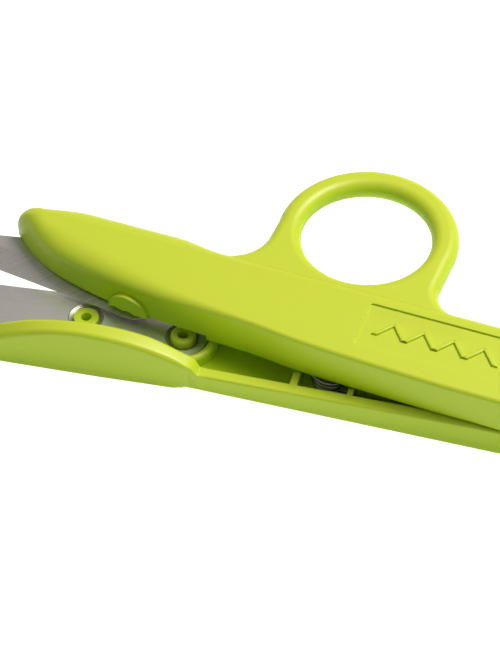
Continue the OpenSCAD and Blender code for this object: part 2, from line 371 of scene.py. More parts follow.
def sharp_edges(bm: Solid, where: Test, degrees: float = 40.0) -> list[Edge]:
    """Edges that turn by more than degrees and have both their ends where the test holds."""
    limit = math.radians(degrees)
    return [e for e in bm.edges
            if len(e.link_faces) == 2 and e.calc_face_angle(0) > limit and all(where(v.co) for v in e.verts)]


def moved(bm: Solid, matrix: Matrix) -> Solid:
    """The same mesh, transformed in place."""
    bmesh.ops.transform(bm, matrix=matrix, verts=bm.verts)
    return bm


def add(bm: Solid, *others: Solid) -> None:
    """Puts other solids into a mesh, which takes their places."""
    for other in others:
        mesh = bpy.data.meshes.new("part")
        other.to_mesh(mesh)
        other.free()
        bm.from_mesh(mesh)
        bpy.data.meshes.remove(mesh)


def carve(body: Solid, tool: Solid, cut: Cut) -> Solid:
    """Joins a solid to another, or takes it away from it.

    Args:
        body: the solid that is changed; it is used up.
        tool: the second solid; it is used up.
        cut: which of the two happens.

    Returns:
        The new solid.
    """
    objects = []
    for bm in (body, tool):
        mesh = bpy.data.meshes.new("cut")
        bm.to_mesh(mesh)
        bm.free()
        objects.append(bpy.data.objects.new("cut", mesh))
        bpy.context.scene.collection.objects.link(objects[-1])
    modifier = objects[0].modifiers.new("cut", "BOOLEAN")
    modifier.object, modifier.operation, modifier.solver = objects[1], cut.value, "EXACT"
    evaluated = objects[0].evaluated_get(bpy.context.evaluated_depsgraph_get())
    result = bmesh.new()
    result.from_mesh(evaluated.to_mesh())
    evaluated.to_mesh_clear()
    for o in objects:
        mesh = o.data
        bpy.data.objects.remove(o)
        bpy.data.meshes.remove(mesh)
    bmesh.ops.remove_doubles(result, verts=result.verts, dist=0.004)
    bmesh.ops.dissolve_degenerate(result, dist=0.004, edges=result.edges)
    return result


def smooth_object(bm: Solid, name: str, finishes: Sequence[bpy.types.Material],
                  smooth_to: float) -> bpy.types.Object:
    """Makes an object, in metres, of a mesh.

    Args:
        bm: the mesh, in millimetres; it is used up.
        name: the object's name.
        finishes: its materials, by material index.
        smooth_to: edges that turn by more than this angle stay crisp.

    Returns:
        The object, in the scene.
    """
    tidy(bm)
    bmesh.ops.scale(bm, verts=bm.verts, vec=(MM, MM, MM))
    mesh = bpy.data.meshes.new(name)
    bm.to_mesh(mesh)
    bm.free()
    for material in finishes:
        mesh.materials.append(material)
    mesh.shade_smooth()
    mesh.set_sharp_from_angle(angle=math.radians(smooth_to))
    made = bpy.data.objects.new(name, mesh)
    bpy.context.scene.collection.objects.link(made)
    return made


def finish_piece(bm: Solid, name: str, body: Body, finishes: Sequence[bpy.types.Material],
                 node: str | None = None, smooth_to: float = 32.0) -> bpy.types.Object:
    """Makes a finished piece of a mesh, and lets it ride on its body.

    Args:
        bm: the mesh, in millimetres; it is used up.
        name: the piece's name.
        body: the body it rides on.
        finishes: its materials, by material index.
        node: the CAD node it stands for, if any.
        smooth_to: edges that turn by more than this angle stay crisp.

    Returns:
        The piece.
    """
    piece = smooth_object(bm, name, finishes, smooth_to)
    normals = piece.modifiers.new("even_normals", "WEIGHTED_NORMAL")
    normals.keep_sharp = True
    normals.weight = 80
    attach(piece, body.value)
    if node:
        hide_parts(node)
    log.info("%s: %d faces on %s", name, len(piece.data.polygons), body.value)
    return piece


# ---------------------------------------------------------------- finishes


class Graph:
    """A node tree that is being filled in."""

    def __init__(self, tree: bpy.types.NodeTree) -> None:
        """Starts from an empty tree."""
        self.tree = tree
        tree.nodes.clear()

    def feed(self, node: bpy.types.Node, inputs: Inputs) -> None:
        """Sets a node's inputs to values, or links them to output sockets."""
        for key, value in inputs.items():
            if isinstance(value, Socket):
                self.tree.links.new(value, node.inputs[key])
            else:
                node.inputs[key].default_value = value

    def add(self, kind: str, inputs: Inputs | None = None, **settings: object) -> bpy.types.Node:
        """Adds a node.

        Args:
            kind: the node's type.
            inputs: values, or output sockets to link, by input.
            settings: the node's own settings.

        Returns:
            The node.
        """
        node = self.tree.nodes.new(kind)
        for key, value in settings.items():
            setattr(node, key, value)
        self.feed(node, inputs or {})
        return node

    def sum(self, operation: str, *values: Socket | float, clamp: bool = False) -> Socket:
        """Works out a sum on one to three values, kept within 0 to 1 when clamp is set."""
        node = self.add("ShaderNodeMath", dict(enumerate(values)), operation=operation, use_clamp=clamp)
        return node.outputs[0]

    def bump(self, height: Socket, strength: float, distance: float) -> Socket:
        """Normals of a relief that is distance high, in millimetres."""
        node = self.add("ShaderNodeBump", {"Height": height, "Strength": strength, "Distance": distance * MM})
        return node.outputs["Normal"]

    def ramp(self, source: Socket, low: float, high: float, to: tuple[float, float]) -> Socket:
        """Maps low to high onto the two values in to, and stays within them."""
        return self.add("ShaderNodeMapRange", {"Value": source, "From Min": low, "From Max": high,
                                               "To Min": to[0], "To Max": to[1]}).outputs["Result"]

    def colour_mix(self, share: Socket, a: Colour, b: Colour) -> Socket:
        """Mixes two colours by a share that varies over the surface."""
        return self.add("ShaderNodeMix", {"Factor": share, 6: a, 7: b}, data_type="RGBA").outputs[2]


class Effects:
    """The shader node groups that several finishes share.

    Attributes:
        RIDGE_PHASE: how fast ridges follow each other across the strokes, in radians per metre.
        RIDGE_WANDER: how far they stray from even, in radians.
    """

    RIDGE_PHASE = 17000.0
    RIDGE_WANDER = 9.0

    def __init__(self) -> None:
        """Builds each group once."""
        self.mottle = self._mottle()
        self.grain = self._grain()
        self.strokes = self._strokes()

    @staticmethod
    def _group(name: str, inputs: dict[str, float],
               outputs: Sequence[str]) -> tuple[bpy.types.NodeTree, Graph]:
        """An empty group with its sockets."""
        tree = bpy.data.node_groups.new(name, "ShaderNodeTree")
        graph = Graph(tree)
        for socket, value in inputs.items():
            made = tree.interface.new_socket(socket, in_out="INPUT", socket_type="NodeSocketFloat")
            made.default_value = value
        for socket in outputs:
            tree.interface.new_socket(socket, in_out="OUTPUT", socket_type="NodeSocketFloat")
        return tree, graph

    def _mottle(self) -> bpy.types.NodeTree:
        """Soft cloudy unevenness, as of handling and uneven cooling."""
        tree, g = self._group("soft_mottle", {"Scale": 60.0, "Contrast": 1.0}, ["Mask"])
        given = g.add("NodeGroupInput")
        where = g.add("ShaderNodeTexCoord").outputs["Object"]
        cloud = g.add("ShaderNodeTexNoise", {"Vector": where, "Scale": given.outputs["Scale"],
                                             "Detail": 4.0, "Roughness": 0.55})
        centred = g.sum("SUBTRACT", cloud.outputs["Fac"], 0.5)
        mask = g.sum("MULTIPLY_ADD", centred, given.outputs["Contrast"], 0.5, clamp=True)
        g.add("NodeGroupOutput", {"Mask": mask})
        return tree

    def _grain(self) -> bpy.types.NodeTree:
        """Fine random grain with a few small pits."""
        tree, g = self._group("fine_grain", {"Scale": 4000.0, "Pits": 0.3}, ["Height"])
        given = g.add("NodeGroupInput")
        where = g.add("ShaderNodeTexCoord").outputs["Object"]
        fine = g.add("ShaderNodeTexNoise", {"Vector": where, "Scale": given.outputs["Scale"],
                                            "Detail": 2.0, "Roughness": 0.5})
        wide = g.sum("MULTIPLY", given.outputs["Scale"], 0.22)
        cells = g.add("ShaderNodeTexVoronoi", {"Vector": where, "Scale": wide}, feature="F1")
        pit = g.ramp(cells.outputs["Distance"], 0.05, 0.18, (-1.0, 0.0))
        height = g.sum("MULTIPLY_ADD", pit, given.outputs["Pits"], fine.outputs["Fac"])
        g.add("NodeGroupOutput", {"Height": height})
        return tree

    def _strokes(self) -> bpy.types.NodeTree:
        """Grinding or drawing strokes at an angle in plan, with even ridges where they are asked for."""
        tree, g = self._group("metal_strokes", {"Turn": 0.0, "Across": 3000.0, "Along": 120.0, "Ridges": 0.0},
                              ["Height", "Streak"])
        given = g.add("NodeGroupInput").outputs
        where = g.add("ShaderNodeTexCoord").outputs["Object"]
        turned_to = g.add("ShaderNodeVectorRotate", {"Vector": where, "Angle": given["Turn"]},
                          rotation_type="Z_AXIS").outputs[0]
        scale = g.add("ShaderNodeCombineXYZ", {"X": given["Along"], "Y": given["Across"],
                                               "Z": given["Along"]})
        stretched = g.add("ShaderNodeVectorMath", {0: turned_to, 1: scale.outputs[0]},
                          operation="MULTIPLY").outputs[0]
        fine = g.add("ShaderNodeTexNoise", {"Vector": stretched, "Scale": 1.0, "Detail": 3.0,
                                            "Roughness": 0.6})
        broad = g.add("ShaderNodeTexNoise", {"Vector": stretched, "Scale": 0.28, "Detail": 1.0})
        both = g.sum("MULTIPLY_ADD", broad.outputs["Fac"], 0.5, fine.outputs["Fac"])
        across = g.add("ShaderNodeSeparateXYZ", {"Vector": turned_to}).outputs["Y"]
        wander = g.sum("MULTIPLY", broad.outputs["Fac"], self.RIDGE_WANDER)
        wave = g.sum("SINE", g.sum("MULTIPLY_ADD", across, self.RIDGE_PHASE, wander))
        ridge = g.sum("MULTIPLY", wave, given["Ridges"])
        contrast = g.ramp(fine.outputs["Fac"], 0.32, 0.68, (0.0, 1.0))
        g.add("NodeGroupOutput", {"Height": g.sum("MULTIPLY_ADD", ridge, 0.5, both),
                                  "Streak": g.sum("MULTIPLY_ADD", ridge, 0.5, contrast, clamp=True)})
        return tree


def new_material(name: str) -> tuple[bpy.types.Material, Graph, bpy.types.Node]:
    """An empty material, its graph, and its surface shader."""
    material = bpy.data.materials.new(name)
    material.use_nodes = True
    graph = Graph(material.node_tree)
    shader = graph.add("ShaderNodeBsdfPrincipled")
    graph.add("ShaderNodeOutputMaterial", {"Surface": shader.outputs["BSDF"]})
    return material, graph, shader


@dataclass(frozen=True)
class Plastic:
    """Moulded plastic with a satin gloss, with painted light and shade: faces that look up and stand clear of
    the floor are painted paler, and sides, undersides and low faces a darker painted shade green.
    """

    name: str
    # colour is the lit colour where painted light falls; the next field is the painted shade colour of sides,
    # undersides and low faces.
    colour: Colour
    painted_shade_colour: Colour
    roughness: float = 0.36
    grain: float = 0.012
    pits: float = 0.05
    # Painted light and shade: which facing and which height get the lit colour, and how much of it at most.
    painted_light_facing: tuple[float, float] = (0.35, 0.97)
    painted_light_height: tuple[float, float] = (2.2, 4.2)
    painted_light_most: float = 0.9
    cloudy: float = 0.12

    def material(self, effects: Effects) -> bpy.types.Material:
        """Builds the material."""
        material, g, shader = new_material(self.name)
        mottle = g.add("ShaderNodeGroup", {"Scale": 45.0, "Contrast": 1.6}, node_tree=effects.mottle)
        fine_mottle = g.add("ShaderNodeGroup", {"Scale": 700.0, "Contrast": 1.8}, node_tree=effects.mottle)
        grain = g.add("ShaderNodeGroup", {"Scale": 3200.0, "Pits": self.pits}, node_tree=effects.grain)
        facing = g.add("ShaderNodeSeparateXYZ", {"Vector": g.add("ShaderNodeNewGeometry").outputs["Normal"]})
        place = g.add("ShaderNodeSeparateXYZ", {"Vector": g.add("ShaderNodeTexCoord").outputs["Object"]})
        # Painted light: faces that look up get more of the lit colour.
        painted_top_light = g.ramp(facing.outputs["Z"], *self.painted_light_facing, (0.0, self.painted_light_most))
        # Painted shade: low faces near the floor, such as the channel floor, keep the darker colour.
        clear = g.ramp(place.outputs["Z"], *[height * MM for height in self.painted_light_height], (0.0, 1.0))
        # Share of the lit colour: painted light on upward, raised faces, plus a little random mottle in the
        # plastic's own tone.
        pale = g.sum("MULTIPLY_ADD", mottle.outputs["Mask"], self.cloudy, g.sum("MULTIPLY", painted_top_light, clear))
        gloss = (self.roughness * 0.85, self.roughness * 1.2)
        g.feed(shader, {
            "Base Color": g.colour_mix(pale, self.painted_shade_colour, self.colour),
            "Roughness": g.ramp(fine_mottle.outputs["Mask"], 0.0, 1.0, gloss),
            "Normal": g.bump(grain.outputs["Height"], 0.25, self.grain),
            "IOR": 1.5,
            "Subsurface Weight": 0.12,
            "Subsurface Radius": (1.0, 1.0, 0.2),
            "Subsurface Scale": 1.2 * MM})
        return material


@dataclass(frozen=True)
class Steel:
    """Bare steel with grinding or drawing strokes."""

    name: str
    bright: Colour
    dull: Colour
    roughness: tuple[float, float]
    turn: float
    across: float
    along: float
    depth: float
    stain: float
    ridges: float = 0.0

    def material(self, effects: Effects) -> bpy.types.Material:
        """Builds the material."""
        material, g, shader = new_material(self.name)
        given = {"Turn": math.radians(self.turn), "Across": self.across, "Along": self.along,
                 "Ridges": self.ridges}
        strokes = g.add("ShaderNodeGroup", given, node_tree=effects.strokes)
        mottle = g.add("ShaderNodeGroup", {"Scale": 160.0, "Contrast": self.stain}, node_tree=effects.mottle)
        streak = g.sum("MULTIPLY", strokes.outputs["Streak"], 0.65)
        share = g.sum("MULTIPLY_ADD", mottle.outputs["Mask"], 0.35, streak)
        g.feed(shader, {
            "Base Color": g.colour_mix(share, self.dull, self.bright),
            "Roughness": g.ramp(share, 0.0, 1.0, (self.roughness[1], self.roughness[0])),
            "Normal": g.bump(strokes.outputs["Height"], 0.6, self.depth),
            "Metallic": 1.0})
        return material


@dataclass(frozen=True)
class FloorPaper:
    """Plain pale paper that glows a little, and looks brighter to the camera than its light on the snips."""

    colour: Colour = (0.84, 0.84, 0.86, 1.0)
    shade: Colour = (0.80, 0.80, 0.82, 1.0)
    glow: float = 0.42
    seen_glow: float = 0.95

    def material(self, effects: Effects) -> bpy.types.Material:
        """Builds the material."""
        material, g, shader = new_material("pale_paper")
        mottle = g.add("ShaderNodeGroup", {"Scale": 25.0}, node_tree=effects.mottle)
        seen = g.add("ShaderNodeLightPath").outputs["Is Camera Ray"]
        g.feed(shader, {
            "Base Color": g.colour_mix(mottle.outputs["Mask"], self.shade, self.colour),
            "Roughness": 0.9,
            "Emission Color": (1.0, 1.0, 1.0, 1.0),
            "Emission Strength": g.ramp(seen, 0.0, 1.0, (self.glow, self.seen_glow))})
        return material


@dataclass
class Finishes:
    """Every finish of the snips, built once."""

    effects: Effects = field(default_factory=Effects)

    def __post_init__(self) -> None:
        """Builds the materials."""
        # The lime is painted light on faces that look up, and the deeper green is painted shade on sides,
        # undersides and low faces. Both stand in for one plastic.
        lime, painted_shade_colour = (0.60, 0.74, 0.05, 1.0), (0.48, 0.70, 0.006, 1.0)
        self.plastic = self._made(Plastic("lime_plastic", lime, painted_shade_colour))
        self.torn_plastic = self._made(Plastic(
            "torn_lime_plastic", lime, painted_shade_colour, roughness=0.5, grain=0.06, pits=1.0))
        self.flat_steel = self._made(Steel(
            "satin_steel", (0.82, 0.81, 0.80, 1.0), (0.69, 0.68, 0.67, 1.0), roughness=(0.35, 0.47),
            turn=4.0, across=5200.0, along=300.0, depth=0.002, stain=2.2))
        self.spine_steel = self._made(Steel(
            "dark_satin_steel", (0.77, 0.76, 0.73, 1.0), (0.66, 0.65, 0.62, 1.0), roughness=(0.40, 0.52),
            turn=4.0, across=5200.0, along=300.0, depth=0.002, stain=1.8))
        self.ground_steel = self._made(Steel(
            "ground_steel", (0.86, 0.84, 0.82, 1.0), (0.50, 0.485, 0.475, 1.0), roughness=(0.36, 0.50),
            turn=-38.0, across=5200.0, along=60.0, depth=0.016, stain=1.0, ridges=1.0))
        self.turned_steel = self._made(Steel(
            "turned_steel", (0.66, 0.65, 0.64, 1.0), (0.40, 0.39, 0.385, 1.0), roughness=(0.28, 0.42),
            turn=0.0, across=2500.0, along=900.0, depth=0.004, stain=1.0))
        # Dark wire: partly the spring steel's own tone, partly painted shade for the coil that lies between
        # the arms.
        self.wire = self._made(Steel(
            "spring_wire", (0.46, 0.46, 0.47, 1.0), (0.26, 0.26, 0.27, 1.0), roughness=(0.14, 0.26),
            turn=0.0, across=5000.0, along=500.0, depth=0.002, stain=1.2))
        self.zinc = self._made(Steel(
            "zinc_plate", (0.74, 0.74, 0.75, 1.0), (0.55, 0.56, 0.58, 1.0), roughness=(0.22, 0.38),
            turn=20.0, across=2600.0, along=900.0, depth=0.003, stain=2.4))

    def _made(self, finish: Plastic | Steel) -> bpy.types.Material:
        """The material of a finish."""
        return finish.material(self.effects)


# ---------------------------------------------------------------- the snips


@dataclass(frozen=True)
class Layout:
    """Sizes and places that the pieces share, in millimetres and degrees."""

    half_width: float = 8.4
    open_angle: float = 5.3
    lean: float = 0.9
    top: float = 12.9
    wall: float = 2.2
    floor: float = 1.6
    roof: float = 2.2
    parting: float = 5.65
    parting_fall: float = 2.03
    parting_start: float = -9.0
    arm_gap: float = 0.25
    nose_x: float = -96.4
    nose_radius: float = 2.2
    blade_reach: float = 120.0
    blade_thick: float = 0.95
    blade_top: float = 3.2
    tang_width: float = 8.4
    boss_at: tuple[tuple[float, float], ...] = ((-78.4, 0.0), (-61.0, 0.0))
    boss_radius: float = 2.2
    boss_bore: float = 0.9
    channel_front: float = -58.9
    channel_end: float = -7.0
    post_radius: float = 3.0
    post_fit: float = 0.06
    recess_floor: float = 10.4
    recess_radius: float = 4.5
    inner_edge: tuple[tuple[float, float], ...] = (
        (-92.8, 2.3), (-90.1, 0.6), (-85.4, -1.5), (-77.0, -3.6), (-67.0, -5.1), (-58.0, -5.6),
        (-48.0, -6.15), (-40.0, -7.1), (-30.0, -7.7), (-15.0, -8.3))

    @property
    def seat_end(self) -> float:
        """Where the blade seats end, just behind the tang."""
        return self.boss_at[1][0] + self.tang_width / 2 + 0.4

    @property
    def lower_seat(self) -> float:
        """Height of the lower blade's seat."""
        return self.blade_top - self.blade_thick

    @property
    def upper_flat(self) -> float:
        """Height of the upper blade's flat face, on the arm before it leans."""
        return self.blade_top + 0.05 + self.blade_reach * math.sin(math.radians(self.lean))

    @property
    def upper_seat(self) -> float:
        """Height of the upper blade's seat, on the arm before it leans."""
        return self.upper_flat + self.blade_thick

    @property
    def leaning(self) -> Matrix:
        """The tilt that loads the blade tips together."""
        return Matrix.Rotation(math.radians(-self.lean), 4, "Y")

    @property
    def opening(self) -> Matrix:
        """The turn from closed to open."""
        return Matrix.Rotation(math.radians(-self.open_angle), 4, "Z")

    def parting_at(self, x: float) -> float:
        """Height of the joint between the arms at x."""
        return self.parting - max(0.0, self.parting_start - x) * math.tan(math.radians(self.parting_fall))

    def inner_y(self, x: float) -> float:
        """Y of an arm's inner edge at x, for an arm whose straight side is at +Y."""
        return value_at(self.inner_edge, x)

    def arm_outline(self) -> list[Vector]:
        """Plan of an arm when closed, anticlockwise, with its straight side at +Y."""
        nose = (self.nose_x + self.nose_radius, self.half_width - self.nose_radius)
        tail = arc((0, 0), self.half_width, -90, 90, 28)
        back = straight((-1.2, self.half_width), (nose[0] + 1.2, self.half_width), 1.6)
        front = arc(nose, self.nose_radius, 90, 205, 10)
        inside = curve_through([front[-1], *self.inner_edge, (-1.2, -self.half_width)], 4)
        return spread([*tail, *back, *front, *inside[1:]], 0.25)

    def channel_outline(self, front_radius: float = 2.4) -> list[Vector]:
        """Plan of the hollow inside an arm whose straight side is at +Y, anticlockwise."""
        far = self.half_width - self.wall
        inside = [(x, y + self.wall) for x, y in self.inner_edge if x > self.channel_front + 2]
        start = (self.channel_front, self.inner_y(self.channel_front) + self.wall)
        end = (self.channel_end, -far + 0.1)
        corners = [start, *inside, end, (self.channel_end, far), (self.channel_front, far)]
        whole = rounded(corners, front_radius)
        out: list[Vector] = []
        for a, b in zip(whole, [*whole[1:], whole[0]]):
            out.extend(straight(a, b, 1.8)[:-1])
        return spread(out, 0.3)


@dataclass
class Blade:
    """A pointed steel blade with a ground bevel and two countersunk holes."""

    layout: Layout
    finishes: Finishes
    bevel_width: float = 4.4
    edge_thick: float = 0.12
    sink_radius: float = 3.15
    heel: tuple[float, float] = (-70.0, 5.8)

    def plan(self) -> list[Vector]:
        """Outline with its cutting edge at +Y, anticlockwise from the tip."""
        half = self.layout.tang_width / 2
        tang = self.layout.boss_at[1]
        spine = curve_through([(-94, -5.2), (-87, -5.15), (-80, -4.9), (-74, -4.5), (-68, -half)], 4)
        return spread([Vector((-self.layout.blade_reach, 0.4)), *spine, *arc(tang, half, -90, 90, 32),
                       Vector((-67, half)), Vector(self.heel)], 0.1)

    def _sink(self, at: Sequence[float]) -> Solid:
        """The countersink with its three turned grooves, and its hole, as a solid to take away."""
        hole = self.layout.boss_radius + 0.06
        edge = self.sink_radius
        cone = [(0.1, -0.60)]
        for ridge, level in ((0.30, -0.50), (0.56, -0.34), (0.80, -0.18)):
            cone += [(ridge, level), (ridge + 0.06, level + 0.10)]
        groove = [(mix(hole, edge, share), z) for share, z in cone]
        return turned([(0, -2), (hole, -2), (hole, -0.62), *groove, (edge, 0.02), (edge, 1), (0, 1)], at)

    def body(self) -> Solid:
        """The blade with its flat face at z = 0 and its body below.

        Returns:
            The solid, with material 1 on the bevel, 2 in the countersinks and 0 elsewhere.
        """
        thick = self.layout.blade_thick
        bm = prism(self.plan(), Axis.Z, -thick, 0.0)
        heel, tip = Vector(self.heel), Vector((-self.layout.blade_reach, 0.4))
        along = math.atan2(heel.y - tip.y, heel.x - tip.x)
        slope = math.atan((thick - self.edge_thick) / self.bevel_width)
        place = Matrix.Translation((heel.x, heel.y, -self.edge_thick)) @ Matrix.Rotation(along, 4, "Z")
        beyond_tip, past_heel = -80, 2.5
        wedge = moved(box((beyond_tip, -20, -10), (past_heel, 20, 0)), place @ Matrix.Rotation(slope, 4, "X"))
        bm = carve(bm, wedge, Cut.REMOVE)
        for at in self.layout.boss_at:
            bm = carve(bm, self._sink(at), Cut.REMOVE)
        self._mark_faces(bm, slope)
        soften(bm, sharp_edges(bm, lambda p: p.z < -thick + 0.01), 0.05)
        return bm

    def _mark_faces(self, bm: Solid, slope: float) -> None:
        """Gives the bevel and the countersinks their own material indexes."""
        bm.normal_update()
        for face in bm.faces:
            centre = face.calc_center_median()
            off_hole = min((centre.xy - Vector(at)).length for at in self.layout.boss_at)
            if abs(face.normal.z + math.cos(slope)) < 0.002:
                face.material_index = 1
            elif off_hole < self.sink_radius and centre.z > -0.61:
                face.material_index = 2

    def build_lower(self) -> None:
        """The lower blade, flat face up."""
        steel = self.finishes
        bm = moved(self.body(), Matrix.Translation((0, 0, self.layout.blade_top)))
        finish_piece(bm, "lower_blade_steel", Body.THUMB_ARM,
                     [steel.flat_steel, steel.ground_steel, steel.turned_steel], "lower_blade", 8)

    def build_upper(self) -> None:
        """The upper blade, flat face down, open with its arm."""
        steel = self.finishes
        flip = Matrix.Translation((0, 0, self.layout.upper_flat)) @ Matrix.Rotation(math.pi, 4, "X")
        bm = moved(self.body(), self.layout.opening @ self.layout.leaning @ flip)
        finish_piece(bm, "upper_blade_steel", Body.RING_ARM,
                     [steel.spine_steel, steel.ground_steel, steel.turned_steel], "upper_blade", 8)


@dataclass
class RingArm:
    """The upper arm: a hollow moulding with the finger ring, and what is moulded on it."""

    layout: Layout
    finishes: Finishes
    far_round: float = 2.3
    near_round: float = 0.75
    nose_near: tuple[float, float] = (4.4, 3.2)
    nose_centre: tuple[float, float] = (-88.6, 4.9)
    nose_share: float = 0.3
    nose_drop: float = 4.6
    hole_radius: float = 11.3
    band_width: float = 4.6
    band_thick: float = 4.1
    ring_x: float = -37.0
    ring_side: float = 15.8
    ring_drop: float = 0.5
    ring_shift: tuple[float, float] = (0.15, 0.2)
    web: float = 1.3
    web_fillets: tuple[float, float] = (7.0, 5.0)
    swell: float = 1.25
    swell_front: tuple[float, float] = (-96.5, -83.0)
    swell_rear: tuple[float, float] = (-58.5, -67.0)
    swell_side: tuple[float, float] = (2.0, 7.5)
    crest: float = 0.09
    crest_front: tuple[float, float] = (-92.0, -86.0)
    crest_rear: tuple[float, float] = (-46.0, -52.0)
    crest_side: tuple[float, float] = (4.0, 6.0)
    nose_rounding: tuple[float, float] = (-46.0, -86.0)
    nose_pull: tuple[float, float] = (-85.0, -93.5)
    panel: tuple[float, float, float, float] = (-30.7, -4.35, -5.5, 5.15)
    panel_deep: float = 0.35
    tab_at: tuple[float, float] = (-70.9, -4.4)
    tab_turn: float = -9.0
    tab_limit: float = -5.66

    def swelling(self, x: float) -> float:
        """How far the nose's ring side swells beyond the straight side at x."""
        return self.swell * smoothstep(*self.swell_front, x) * smoothstep(*self.swell_rear, x)

    def outline(self) -> list[Vector]:
        """The arm's plan with its nose swelling gently on the ring's side."""
        points = self.layout.arm_outline()
        return [Vector((p.x, p.y + self.swelling(p.x) * smoothstep(*self.swell_side, p.y))) for p in points]

    def crest_at(self, p: Vector) -> float:
        """How far the top's ring side stands above the flat top at a point, as a low crest along the arm."""
        along = smoothstep(*self.crest_front, p.x) * smoothstep(*self.crest_rear, p.x)
        return self.crest * smoothstep(*self.crest_side, p.y) * along

    def crown(self, outline: Sequence[Vector]) -> tuple[list[Vector], list[float]]:
        """How the top edge is rounded over.

        Args:
            outline: the arm's plan.

        Returns:
            The outline of the flat top, and how far below the top each point's rounding starts.
        """
        spans, drops = [], []
        for i, p in enumerate(outline):
            after, before = outline[(i + 1) % len(outline)], outline[i - 1]
            outward_y = (before.x - after.x) / (after - before).length
            near = smoothstep(0.6, -0.6, outward_y)
            nose = smoothstep(*self.nose_rounding, p.x)
            near_span, near_drop = (mix(self.near_round, size, nose) for size in self.nose_near)
            spans.append(mix(self.far_round + self.swelling(p.x), near_span, near))
            drops.append(mix(self.far_round, near_drop, near))
        top = inset(outline, spans)
        centre = Vector(self.nose_centre)
        for i, p in enumerate(outline):
            pull = smoothstep(*self.nose_pull, p.x)
            top[i] = top[i].lerp(centre + (p - centre) * self.nose_share, pull)
            drops[i] = mix(drops[i], self.nose_drop, pull)
        return top, drops

    def block(self) -> Solid:
        """The arm's outside, level and closed, down to below the joint."""
        lay = self.layout
        outline = self.outline()
        top, drops = self.crown(outline)
        levels = [at_height(outline, 1.0), at_height(outline, 4.0)]
        for step in range(9):
            turn = math.radians(90 * step / 8)
            levels.append([Vector((*q.lerp(p, math.cos(turn)), lay.top - drop * (1 - math.sin(turn))))
                           for p, q, drop in zip(outline, top, drops)])
        levels[-1] = [Vector((p.x, p.y, p.z + self.crest_at(q))) for p, q in zip(levels[-1], outline)]
        levels.append(at_height(inset(top, [0.4] * len(top)), lay.top))
        return lofted(levels)

    def ring(self) -> Solid:
        """The finger ring with the web that joins it to the arm, rounded all over."""
        lay = self.layout
        half = lay.half_width
        centre = (self.ring_x, half + self.web + self.hole_radius)
        outer = self.hole_radius + self.band_width
        left, right = self.ring_x - self.ring_side, self.ring_x + self.ring_side
        front, rear = self.web_fillets
        meet = math.degrees(math.acos(self.ring_side / outer))
        around = (centre[0] + self.ring_shift[0], centre[1] + self.ring_shift[1])
        root = (left - front - 3, half - 7)
        plan = [*straight(root, (right + rear + 3, half - 7), 2.0),
                *straight((right + rear + 3, half - 0.9), (right + rear, half), 4.0),
                *arc((right + rear, half + rear), rear, 270, 180, 8)[1:],
                *arc(around, outer, -meet, 180 + meet, 80),
                *arc((left - front, half + front), front, 0, -90, 10),
                *straight((left - front, half), (root[0], half - 0.9), 4.0)[1:]]
        plan = spread(plan, 0.2)
        radius = self.band_thick / 2
        middle = lay.top - self.ring_drop - radius
        turns = [math.radians(a) for a in range(-90, 91, 15)]
        outside = [at_height(inset(plan, [radius * (1 - math.cos(a))] * len(plan)),
                             middle + radius * math.sin(a)) for a in turns]
        inside = [at_height(arc(centre, self.hole_radius + radius * (1 - math.cos(a)), 0, 356.25, 95),
                            middle + radius * math.sin(a)) for a in turns]
        bm = bmesh.new()
        ends = []
        for levels in (outside, inside):
            first = new_ring(bm, levels[0])
            ends.append((first, grow(bm, first, levels[1:])))
        for side in (0, 1):
            fill(bm, ends[0][side], ends[1][side])
        tidy(bm)
        return bm

    def channel(self) -> Solid:
        """The hollow of the arm, as a solid to take away."""
        lay = self.layout
        outline = lay.channel_outline()
        top = lay.top - lay.roof
        levels = [at_height(outline, -1.0)]
        bend = 0.8
        for step in range(5):
            turn = math.radians(90 * step / 4)
            shrunk = inset(outline, [bend * (1 - math.cos(turn))] * len(outline))
            levels.append(at_height(shrunk, top - bend * (1 - math.sin(turn))))
        return lofted(levels)

    def moulding(self) -> Solid:
        """The arm with its ring, hollow, seat, bores and panel, leaning and open."""
        lay = self.layout
        bm = carve(self.block(), self.ring(), Cut.JOIN)
        bm = carve(bm, box((-120, -60, -5), (lay.seat_end, 60, lay.upper_seat)), Cut.REMOVE)
        bm = carve(bm, self.channel(), Cut.REMOVE)
        x0, y0, x1, y1 = self.panel
        bm = carve(bm, prism(rounded([(x0, y0), (x1, y0), (x1, y1), (x0, y1)], 0.35), Axis.Z,
                             lay.top - self.panel_deep, lay.top + 2), Cut.REMOVE)
        bm = moved(bm, lay.leaning)
        fall = math.tan(math.radians(lay.parting_fall))
        start = lay.seat_end - 1
        rim = lay.parting + lay.arm_gap
        under = [(start, -20), (40, -20), (40, rim), (lay.parting_start, rim),
                 (start, rim - (lay.parting_start - start) * fall)]
        bm = carve(bm, prism(under, Axis.Y, -60, 60), Cut.REMOVE)
        bore = lay.post_radius + lay.post_fit
        recess = [(lay.recess_radius, lay.recess_floor), (lay.recess_radius, 20)]
        hinge = turned([(0, -1), (bore, -1), (bore, lay.recess_floor), *recess, (0, 20)], (0, 0), steps=72)
        return carve(bm, hinge, Cut.REMOVE)

    def soften_rims(self, bm: Solid) -> None:
        """Rounds the crisp edges a little: the joint, the seat, the panel and the screw's recess."""
        lay = self.layout
        x0, _, x1, _ = self.panel

        def at_joint(p: Vector) -> bool:
            """Whether a point lies on the arm's lower rim."""
            return abs(p.z - lay.parting_at(p.x) - lay.arm_gap) < 0.02 and p.x > lay.seat_end

        def at_top(p: Vector) -> bool:
            """Whether a point lies on the arm's top face, behind the nose."""
            return p.z > lay.top + p.x * math.sin(math.radians(lay.lean)) - 0.03 and x0 - 1 < p.x < x1 + 12

        level = lay.leaning.inverted()

